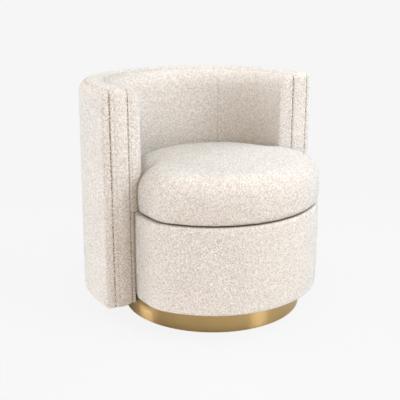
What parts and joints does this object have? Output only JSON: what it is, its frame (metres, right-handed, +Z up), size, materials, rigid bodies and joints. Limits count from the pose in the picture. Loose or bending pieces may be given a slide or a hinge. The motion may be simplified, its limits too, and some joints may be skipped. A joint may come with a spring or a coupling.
{
  "type": "barrel swivel armchair",
  "caption": "Upholstered barrel armchair with a curved back and arms around a round loose-cushioned seat, turning on a low brushed metal plinth.",
  "frame": {"origin": "on the floor, on the swivel axis, at the underside of the plinth's central glide", "axes": "+Z up, -Y the way a sitter faces, +X to the right of someone looking at the chair's front"},
  "size_m": [0.778, 0.773, 0.704],
  "materials": {
    "brass_ring": "brushed around, clear lacquer",
    "timber": "sawn plywood and softwood, bare",
    "fibreboard": "bare fibreboard",
    "steel": "zinc plated",
    "glide_plastic": "moulded",
    "cage_plastic": "moulded",
    "webbing": "woven elastic web",
    "foam": "open-cell foam",
    "deck_cloth": "plain cotton",
    "boucle": "looped wool-blend boucle, matt",
    "dust_cloth": "non-woven cloth",
    "zip": "woven tape with moulded teeth"
  },
  "bodies": {
    "plinth": {"plinth_ring": "brass_ring", "plinth_foot_board": "timber", "plinth_deck_board": "timber", "plinth_blocks": "timber", "plinth_screws": "steel", "floor_glides": "glide_plastic", "swivel_lower_plate": "steel", "swivel_lower_bolts": "steel", "swivel_lower_nuts": "steel", "pivot_pin": "steel", "pivot_clip": "steel"},
    "bearing": {"bearing_balls": "steel", "bearing_cage": "cage_plastic"},
    "cushion": {"cushion_foam": "foam", "cushion_cover": "boucle", "cushion_zip": "zip"},
    "seat": {"swivel_upper_plate": "steel", "swivel_upper_bolts": "steel", "swivel_upper_nuts": "steel", "seat_board": "timber", "seat_posts": "timber", "seat_ring": "timber", "webs_lengthwise": "webbing", "webs_crosswise": "webbing", "deck_pad": "foam", "deck_cloth": "deck_cloth", "drum_wall": "fibreboard", "drum_foam": "foam", "drum_cover": "boucle", "drum_dust_cloth": "dust_cloth", "back_foot_rail": "timber", "back_middle_rail": "timber", "back_top_rail": "timber", "back_posts": "timber", "inner_lining": "fibreboard", "outer_lining": "fibreboard", "inner_foam": "foam", "outer_foam": "foam", "band_foam": "foam", "outer_cover": "boucle", "inner_cover_middle": "boucle", "inner_cover_left": "boucle", "inner_cover_right": "boucle", "band_cover": "boucle", "back_dust_cloth": "dust_cloth", "frame_bolts": "steel", "frame_nuts": "steel"}
  },
  "joints": [
    {"name": "swivel", "type": "hinge", "parent": "plinth", "child": "seat", "pos_m": [0, 0, 0.075], "axis": [0, 0, 1], "continuous": true},
    {"name": "bearing_roll", "type": "hinge", "parent": "plinth", "child": "bearing", "pos_m": [0, 0, 0.069], "axis": [0, 0, 1], "continuous": true},
    {"name": "cushion_lift", "type": "slide", "parent": "seat", "child": "cushion", "axis": [0, 0, 1], "range_m": [0, 0.25]}
  ],
  "couplings": [
    {"joint": "bearing_roll", "follows": "swivel", "ratio": 0.5}
  ]
}
